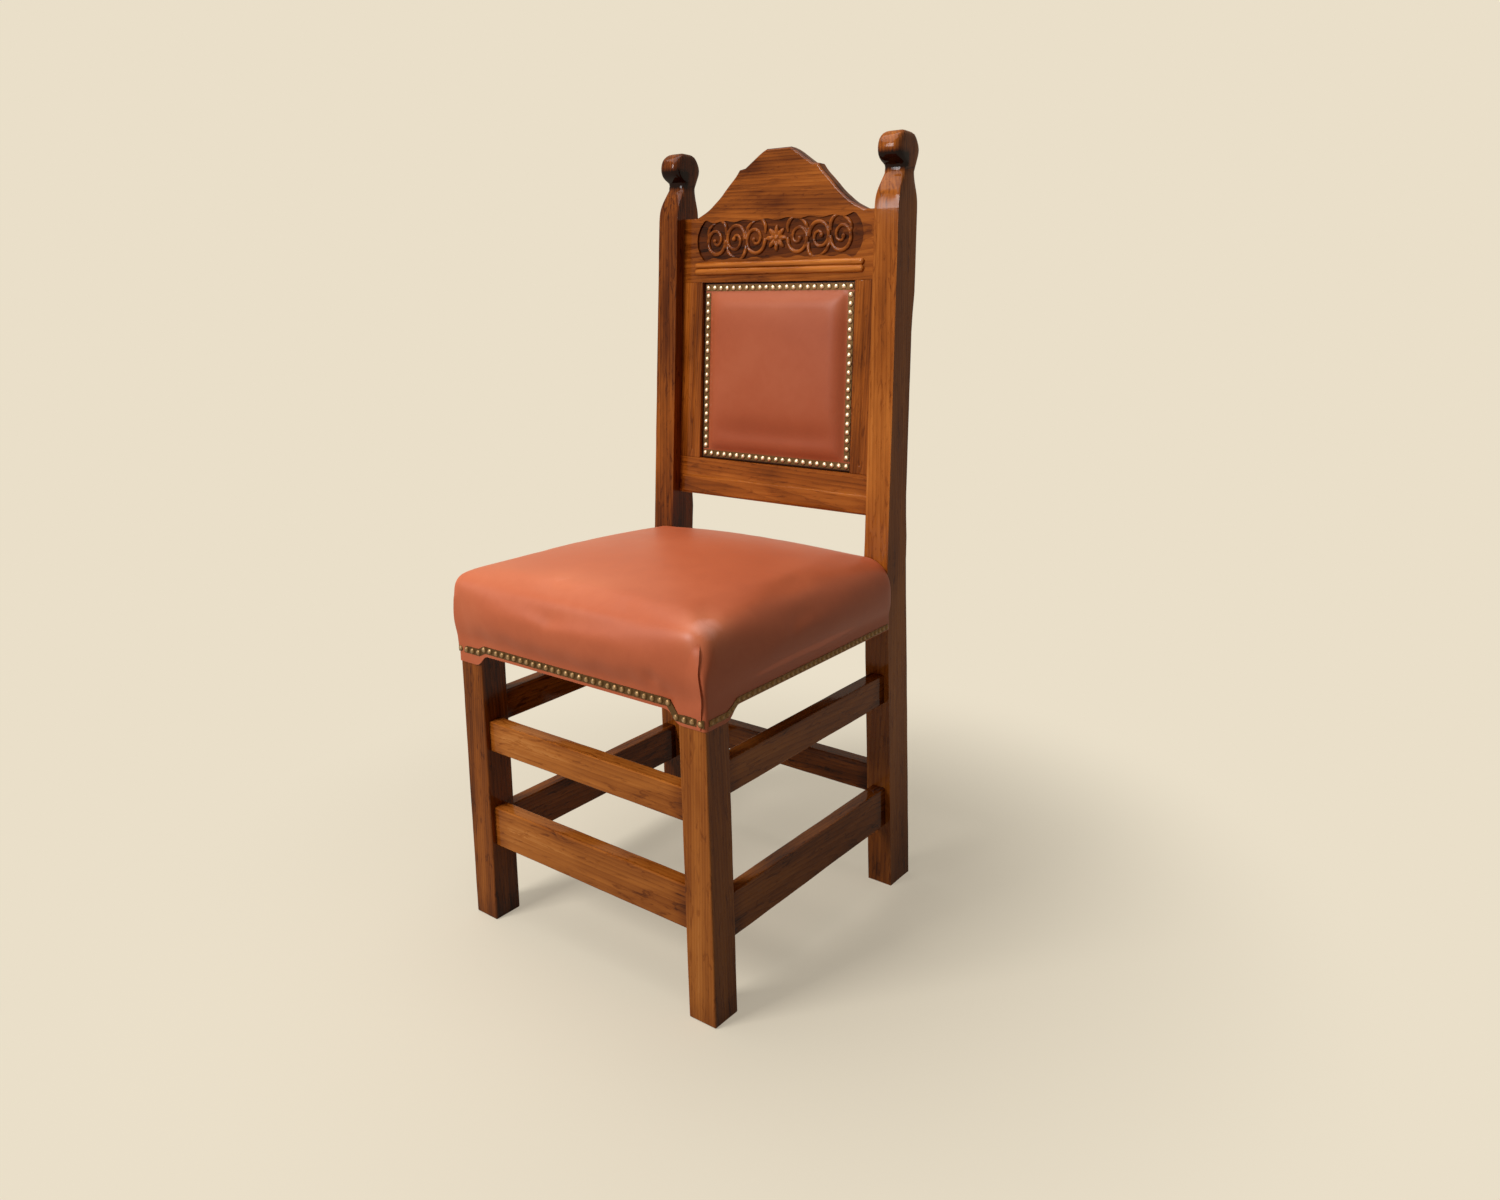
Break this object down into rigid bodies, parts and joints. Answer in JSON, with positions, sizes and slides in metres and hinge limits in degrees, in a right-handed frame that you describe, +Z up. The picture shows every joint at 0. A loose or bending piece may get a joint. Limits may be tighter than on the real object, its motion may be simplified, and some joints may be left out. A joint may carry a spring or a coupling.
{
  "type": "dining chair",
  "caption": "High-back wooden dining chair with a leather seat and back pad held by domed nails, box stretchers and scrolled post tops.",
  "frame": {"origin": "on the floor under the middle of the chair's whole footprint and overhang", "axes": "+Z up, the chair faces -Y, +X to the right of a viewer who looks at its front"},
  "size_m": [0.4746, 0.5262, 1.1199],
  "materials": {
    "varnished_wood": "gloss varnish on stained, grained wood",
    "plain_wood": "bare sawn softwood and plywood",
    "leather": "smooth semi-gloss terracotta leather",
    "foam": "matt open-cell foam",
    "brass": "antique polish",
    "steel": "zinc plate"
  },
  "bodies": {
    "root": {"front_leg_left": "varnished_wood", "front_leg_right": "varnished_wood", "back_post_left": "varnished_wood", "back_post_right": "varnished_wood", "front_stretcher_upper": "varnished_wood", "front_stretcher_lower": "varnished_wood", "side_stretcher_left_upper": "varnished_wood", "side_stretcher_right_upper": "varnished_wood", "side_stretcher_left_lower": "varnished_wood", "side_stretcher_right_lower": "varnished_wood", "back_stretcher": "varnished_wood", "crest_board": "varnished_wood", "back_bottom_rail": "varnished_wood", "back_stile_left": "varnished_wood", "back_stile_right": "varnished_wood", "seat_rail_front": "plain_wood", "seat_rail_left": "plain_wood", "seat_rail_right": "plain_wood", "seat_rail_back": "plain_wood", "corner_block_front_left": "plain_wood", "corner_block_front_right": "plain_wood", "corner_block_back_left": "plain_wood", "corner_block_back_right": "plain_wood", "seat_board": "plain_wood", "back_board": "varnished_wood", "seat_foam": "foam", "back_foam": "foam", "seat_cover": "leather", "back_cover": "leather", "seat_nail_strip_front": "brass", "seat_nail_strip_left": "brass", "seat_nail_strip_right": "brass", "seat_nail_strip_back": "brass", "back_nail_strip_top": "brass", "back_nail_strip_bottom": "brass", "back_nail_strip_left": "brass", "back_nail_strip_right": "brass", "corner_block_screw_1": "steel", "corner_block_screw_2": "steel", "corner_block_screw_3": "steel", "corner_block_screw_4": "steel", "corner_block_screw_5": "steel", "corner_block_screw_6": "steel", "corner_block_screw_7": "steel", "corner_block_screw_8": "steel", "seat_board_screw_1": "steel", "seat_board_screw_2": "steel", "seat_board_screw_3": "steel", "seat_board_screw_4": "steel", "seat_board_screw_5": "steel", "seat_board_screw_6": "steel"}
  },
  "joints": []
}
